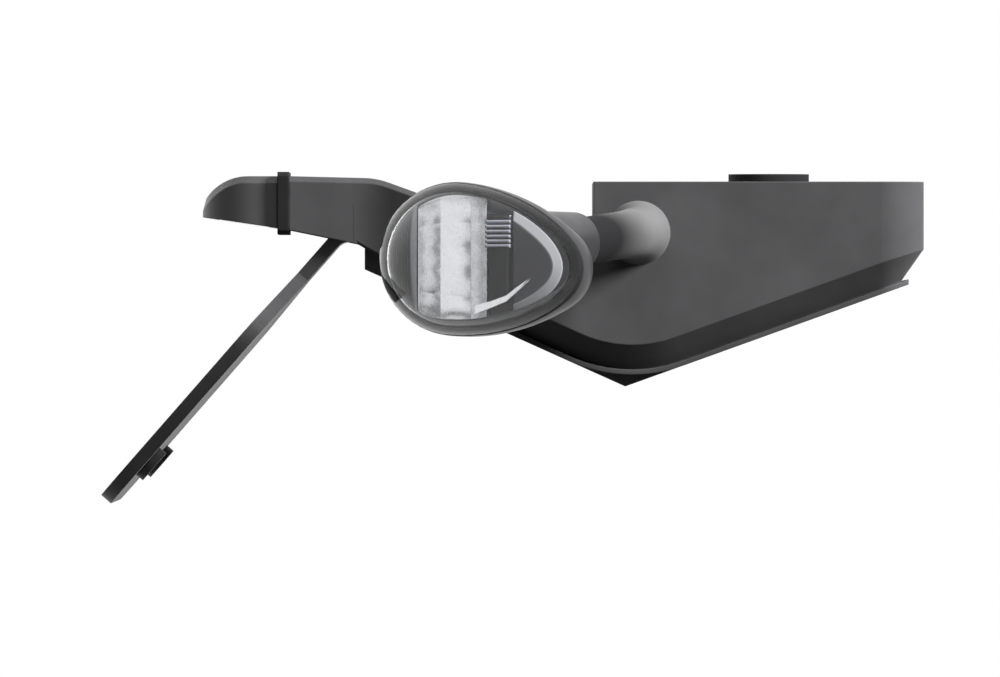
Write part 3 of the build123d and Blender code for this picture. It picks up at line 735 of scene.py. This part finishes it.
def math_node(tree, operation, *values, clamp=False):
    # Arithmetic on values that come from other nodes, or on plain numbers
    node = tree.nodes.new("ShaderNodeMath")
    node.operation = operation
    node.use_clamp = clamp
    for end, value in zip(node.inputs, values):
        if isinstance(value, float):
            end.default_value = value
        else:
            tree.links.new(value, end)
    return node.outputs["Value"]


class Nodes:
    # A material's node tree, with short ways to add and join nodes
    def __init__(self, name):
        self.material = bpy.data.materials.new(name)
        self.material.use_nodes = True
        self.tree = self.material.node_tree
        self.shader = self.tree.nodes["Principled BSDF"]
        self.output = self.tree.nodes["Material Output"]
        self.place = self.add("ShaderNodeTexCoord").outputs["Object"]

    def add(self, kind, **settings):
        node = self.tree.nodes.new(kind)
        for key, value in settings.items():
            setattr(node, key, value)
        return node

    def join(self, start, end):
        self.tree.links.new(start, end)

    def feed(self, name, value):
        self.join(value, self.shader.inputs[name])

    def noise(self, scale, detail=3.0, roughness=0.55):
        node = self.add("ShaderNodeTexNoise")
        self.join(self.place, node.inputs["Vector"])
        set_input(node, "Scale", scale)
        set_input(node, "Detail", detail)
        set_input(node, "Roughness", roughness)
        return node.outputs["Fac"]

    def spread(self, value, low, high, from_low=0.3, from_high=0.7):
        # A value stretched from one range to another
        node = self.add("ShaderNodeMapRange")
        self.join(value, node.inputs["Value"])
        set_input(node, "From Min", from_low)
        set_input(node, "From Max", from_high)
        set_input(node, "To Min", low)
        set_input(node, "To Max", high)
        return node.outputs["Result"]

    def blend(self, share, first, second):
        # Two colours mixed by a share; inputs 6 and 7 and output 2 of the node hold colours
        node = self.add("ShaderNodeMix", data_type="RGBA")
        self.join(share, node.inputs["Factor"])
        for index, colour in ((6, first), (7, second)):
            if isinstance(colour, tuple):
                node.inputs[index].default_value = (*colour, 1)
            else:
                self.join(colour, node.inputs[index])
        return node.outputs[2]

    def edges(self, radius):
        # The rounded normal, and a value that is one along sharp edges and zero on flat faces
        bevel = self.add("ShaderNodeBevel", samples=EDGE_SAMPLES)
        set_input(bevel, "Radius", radius)
        plain = self.add("ShaderNodeNewGeometry").outputs["Normal"]
        dot = self.add("ShaderNodeVectorMath", operation="DOT_PRODUCT")
        self.join(bevel.outputs["Normal"], dot.inputs[0])
        self.join(plain, dot.inputs[1])
        sharp = self.spread(dot.outputs["Value"], 1.0, 0.0, EDGE_SHARP, EDGE_FLAT)
        return bevel.outputs["Normal"], sharp

    def bump(self, height, strength, distance, normal=None):
        node = self.add("ShaderNodeBump")
        set_input(node, "Strength", strength)
        set_input(node, "Distance", distance)
        self.join(height, node.inputs["Height"])
        if normal is not None:
            self.join(normal, node.inputs["Normal"])
        return node.outputs["Normal"]


def tint(colour, factor):
    return tuple(channel * factor for channel in colour)


def moulded(name, colour, roughness, shine, grain=0.25, grain_scale=2600.0, edge=0.5 * MM, edge_wear_and_highlight=1.7):
    # Plastic, rubber or paint: fine grain, a faint cloudiness, and edges a little lighter, partly as
    # rubbed wear and partly as a painted highlight
    nodes = Nodes(name)
    set_input(nodes.shader, "Specular IOR Level", shine)
    normal, edges = nodes.edges(edge)
    clouds = nodes.spread(nodes.noise(CLOUD_SCALE), 0.0, 1.0)
    base = nodes.blend(clouds, tint(colour, 1 - CLOUD_SHADE), tint(colour, 1 + CLOUD_SHADE))
    # Lighter sharp edges in noisy patches: partly wear and partly a painted highlight
    wear_and_highlight_patches = nodes.spread(nodes.noise(WEAR_AND_HIGHLIGHT_SCALE), WEAR_AND_HIGHLIGHT_LEAST, 1.0)
    wear_and_highlight = math_node(nodes.tree, "MULTIPLY", edges, wear_and_highlight_patches)
    nodes.feed("Base Color", nodes.blend(wear_and_highlight, base, tint(colour, edge_wear_and_highlight)))
    gloss = nodes.noise(GLOSS_SCALE)
    nodes.feed("Roughness", nodes.spread(gloss, roughness - GLOSS_SPREAD, roughness + GLOSS_SPREAD))
    height = nodes.noise(grain_scale, GRAIN_DETAIL)
    nodes.feed("Normal", nodes.bump(height, grain, GRAIN_HEIGHT, normal))
    return nodes.material


def metal(name, colour, roughness, marks=0.08, edge=0.3 * MM):
    # Metal or plating with faint stains and fine marks
    nodes = Nodes(name)
    normal = nodes.edges(edge)[0]
    set_input(nodes.shader, "Metallic", 1.0)
    stains = nodes.spread(nodes.noise(STAIN_SCALE), 0.0, 1.0)
    nodes.feed("Base Color", nodes.blend(stains, tint(colour, 1 - STAIN_SHADE), colour))
    polish = nodes.noise(POLISH_SCALE)
    nodes.feed("Roughness", nodes.spread(polish, roughness - marks, roughness + marks))
    nodes.feed("Normal", nodes.bump(nodes.noise(MARK_SCALE), marks, MARK_HEIGHT, normal))
    return nodes.material


def clear(name, colour, roughness):
    # Clear moulded plastic: a thin even wall that hardly bends the view, with a plain gloss on top
    nodes = Nodes(name)
    set_input(nodes.shader, "Base Color", (*colour, 1))
    set_input(nodes.shader, "Transmission Weight", 1.0)
    set_input(nodes.shader, "IOR", CLEAR_IOR)
    set_input(nodes.shader, "Coat Weight", CLEAR_COAT)
    set_input(nodes.shader, "Coat Roughness", CLEAR_COAT_ROUGHNESS)
    haze = nodes.noise(HAZE_SCALE)
    nodes.feed("Roughness", nodes.spread(haze, roughness, roughness + HAZE_SPREAD))
    nodes.feed("Normal", nodes.bump(nodes.noise(WAVE_SCALE), WAVE_STRENGTH, WAVE_HEIGHT))
    # Light passes through without a dark shadow
    see_through = nodes.add("ShaderNodeBsdfTransparent")
    set_input(see_through, "Color", (*colour, 1))
    mix = nodes.add("ShaderNodeMixShader")
    nodes.join(nodes.add("ShaderNodeLightPath").outputs["Is Shadow Ray"], mix.inputs["Fac"])
    nodes.join(nodes.shader.outputs["BSDF"], mix.inputs[1])
    nodes.join(see_through.outputs["BSDF"], mix.inputs[2])
    nodes.join(mix.outputs["Shader"], nodes.output.inputs["Surface"])
    return nodes.material


def rubber_painted_light(name, colour, dust, roughness, shine, grain, grain_scale):
    # Rubber with pale painted light on the foot that thins out in noisy patches along the stem, away
    # from the middle of the motorbike, to the plain dark rubber
    nodes = Nodes(name)
    set_input(nodes.shader, "Specular IOR Level", shine)
    set_input(nodes.shader, "Roughness", roughness)
    split = nodes.add("ShaderNodeSeparateXYZ")
    nodes.join(nodes.place, split.inputs["Vector"])
    out = math_node(nodes.tree, "ABSOLUTE", split.outputs["Y"])
    # Painted light: pale on the foot near the cheek, gone beyond the outer distance, broken up by noise
    painted_light_share = nodes.spread(out, 1.0, 0.0, PAINTED_LIGHT_FROM, PAINTED_LIGHT_TO)
    painted_light_patches = nodes.spread(nodes.noise(PAINTED_LIGHT_PATCH_SCALE), PAINTED_LIGHT_PATCH_LEAST, 1.0)
    patchy_painted_light = math_node(nodes.tree, "MULTIPLY", painted_light_share, painted_light_patches)
    nodes.feed("Base Color", nodes.blend(patchy_painted_light, colour, dust))
    nodes.feed("Normal", nodes.bump(nodes.noise(grain_scale, GRAIN_DETAIL), grain, GRAIN_HEIGHT))
    return nodes.material


# Looks by name: one for each slot of the record, and some for pieces that differ from their slot
SHELL_LOOK = dict(colour=(0.095, 0.095, 0.098), roughness=0.62, shine=0.06)
MOULDED_LOOKS = {
    "shell_plastic": SHELL_LOOK,
    "fairing_plastic": dict(SHELL_LOOK, edge=0.02 * MM, edge_wear_and_highlight=1.0),
    "cover_plastic": dict(colour=(0.075, 0.075, 0.077), roughness=0.6, shine=0.15),
    "holder_paint": dict(
        colour=(0.06, 0.06, 0.062), roughness=0.45, shine=0.2, grain=0.12, grain_scale=1500.0
    ),
    "rubber": dict(
        colour=(0.025, 0.025, 0.026), roughness=0.75, shine=0.1, grain=0.2, grain_scale=1800.0
    ),
    "light_plastic": dict(
        colour=(0.085, 0.085, 0.087), roughness=0.4, shine=0.3, grain=0.06, grain_scale=2200.0
    ),
    "lamp_plastic": dict(
        colour=(0.038, 0.038, 0.04), roughness=0.35, shine=0.3, grain=0.04, grain_scale=1800.0
    ),
    "bezel_plastic": dict(colour=(0.06, 0.06, 0.063), roughness=0.4, shine=0.2, grain=0.0),
    "inner_face_plastic": dict(colour=(0.07, 0.07, 0.073), roughness=0.6, shine=0.1, grain=0.0),
    "pale_plastic": dict(colour=(0.4, 0.41, 0.46), roughness=0.5, shine=0.15, grain=0.0),
    # The inner face's sloping edge: the bezel's plastic painted pale as a highlight
    "edge_plastic": dict(colour=(0.42, 0.42, 0.43), roughness=0.5, shine=0.15, grain=0.0),
    "fluted_plastic": dict(colour=(0.12, 0.12, 0.125), roughness=0.35, shine=0.3, grain=0.0),
    "board": dict(
        colour=(0.012, 0.012, 0.013), roughness=0.45, shine=0.2, grain=0.1, grain_scale=1500.0
    ),
}
METAL_LOOKS = {
    "steel": dict(colour=(0.6, 0.6, 0.61), roughness=0.32),
    "brass": dict(colour=(0.72, 0.53, 0.25), roughness=0.35),
    "reflector_chrome": dict(colour=(0.95, 0.95, 0.955), roughness=0.27, marks=0.02),
}
CLEAR_LOOKS = {
    "clear_lens": dict(colour=(0.95, 0.96, 0.97), roughness=0.05),
    "lamp_lens": dict(colour=(0.9, 0.905, 0.915), roughness=0.0),
}
# The stems' rubber: pale painted light on the foot, fading along the stem to the rubber's own dark
# colour
RUBBER_PAINTED_LIGHT_LOOKS = {
    "dusty_rubber": dict(
        colour=(0.02, 0.02, 0.021), dust=(0.2, 0.2, 0.202),
        roughness=0.75, shine=0.15, grain=0.2, grain_scale=1800.0,
    ),
}
MATERIALS = {}
for maker, looks in (
    (moulded, MOULDED_LOOKS), (metal, METAL_LOOKS), (clear, CLEAR_LOOKS), (rubber_painted_light, RUBBER_PAINTED_LIGHT_LOOKS)
):
    for look_name, look_values in looks.items():
        MATERIALS[look_name] = maker(look_name, **look_values)

for subpart in frame["record"]["subparts"]:
    solid = frame["nodes"][subpart["node"]]
    solid.data.materials.clear()
    solid.data.materials.append(MATERIALS[subpart["material_slot"]])

make_reflectors()
make_light_bars()
make_bar_fins()
make_inner_faces()
make_strips()
make_stems()
make_flutes()
make_bevel_ends()
make_all_screws()


def seen_directly(tree):
    # One for what the camera sees, also in gloss and glass, and zero for light off dull surfaces
    path = tree.nodes.new("ShaderNodeLightPath").outputs
    seen = math_node(tree, "MAXIMUM", path["Is Camera Ray"], path["Is Glossy Ray"])
    seen = math_node(tree, "MAXIMUM", seen, path["Is Transmission Ray"])
    return math_node(tree, "SUBTRACT", seen, path["Diffuse Depth"], clamp=True)


def make_floor():
    # Plain white in gloss and glass, pale with a shadow to the camera, and dark as a source of light
    half = FLOOR_SIZE / 2
    mesh = bpy.data.meshes.new("floor")
    corners = [(x * half, y * half, FLOOR_Z) for x, y in ((-1, -1), (1, -1), (1, 1), (-1, 1))]
    mesh.from_pydata(corners, [], [[0, 1, 2, 3]])
    floor = bpy.data.objects.new("floor", mesh)
    bpy.context.scene.collection.objects.link(floor)
    nodes = Nodes("floor_paint")
    clouds = nodes.spread(nodes.noise(FLOOR_CLOUD_SCALE), 0.0, 1.0)
    pale = nodes.blend(clouds, FLOOR_COLOUR, tint(FLOOR_COLOUR, 1 - FLOOR_CLOUD_SHADE))
    camera = nodes.add("ShaderNodeLightPath").outputs["Is Camera Ray"]
    mirrored = math_node(nodes.tree, "SUBTRACT", seen_directly(nodes.tree), camera, clamp=True)
    colour = nodes.blend(camera, FLOOR_BOUNCE, pale)
    nodes.feed("Base Color", nodes.blend(mirrored, colour, (0.0, 0.0, 0.0)))
    nodes.feed("Emission Strength", math_node(nodes.tree, "MULTIPLY_ADD", camera, FLOOR_GLOW, mirrored))
    set_input(nodes.shader, "Emission Color", (1, 1, 1, 1))
    set_input(nodes.shader, "Roughness", FLOOR_ROUGHNESS)
    set_input(nodes.shader, "Specular IOR Level", 0.0)
    mesh.materials.append(nodes.material)


def make_sky():
    # White where it is seen and a soft grey as light
    world = bpy.data.worlds.new("studio")
    bpy.context.scene.world = world
    world.use_nodes = True
    tree = world.node_tree
    background = tree.nodes["Background"]
    set_input(background, "Color", (1, 1, 1, 1))
    level = tree.nodes.new("ShaderNodeMapRange")
    tree.links.new(seen_directly(tree), level.inputs["Value"])
    set_input(level, "To Min", SKY_FOR_DIFFUSE)
    set_input(level, "To Max", 1.0)
    tree.links.new(level.outputs["Result"], background.inputs["Strength"])


def make_light(name, place, size, power):
    # A soft lamp that lights dull surfaces and leaves no bright disc in gloss or glass
    light = bpy.data.lights.new(name, "AREA")
    light.shape = "DISK"
    light.size = size
    light.energy = power
    lamp = bpy.data.objects.new(name, light)
    lamp.location = place
    lamp.visible_glossy = False
    lamp.visible_transmission = False
    lamp.rotation_mode = "QUATERNION"
    lamp.rotation_quaternion = (VIEW_CENTRE - Vector(place)).to_track_quat("-Z", "Y")
    bpy.context.scene.collection.objects.link(lamp)


def make_camera():
    data = bpy.data.cameras.new("side_view")
    data.sensor_width = SENSOR_WIDTH
    data.lens = SENSOR_WIDTH * CAMERA_DISTANCE / VIEW_WIDTH
    data.clip_start = CAMERA_NEAR
    data.clip_end = CAMERA_FAR
    camera = bpy.data.objects.new("side_view", data)
    camera.location = VIEW_CENTRE - Vector((0, CAMERA_DISTANCE, 0))
    camera.rotation_euler = (math.radians(90), 0, 0)
    bpy.context.scene.collection.objects.link(camera)
    bpy.context.scene.camera = camera


make_floor()
make_sky()
for light_name, (light_place, light_size, light_power) in LIGHTS.items():
    make_light(light_name, light_place, light_size, light_power)
make_camera()
bpy.context.scene.view_settings.view_transform = "Standard"
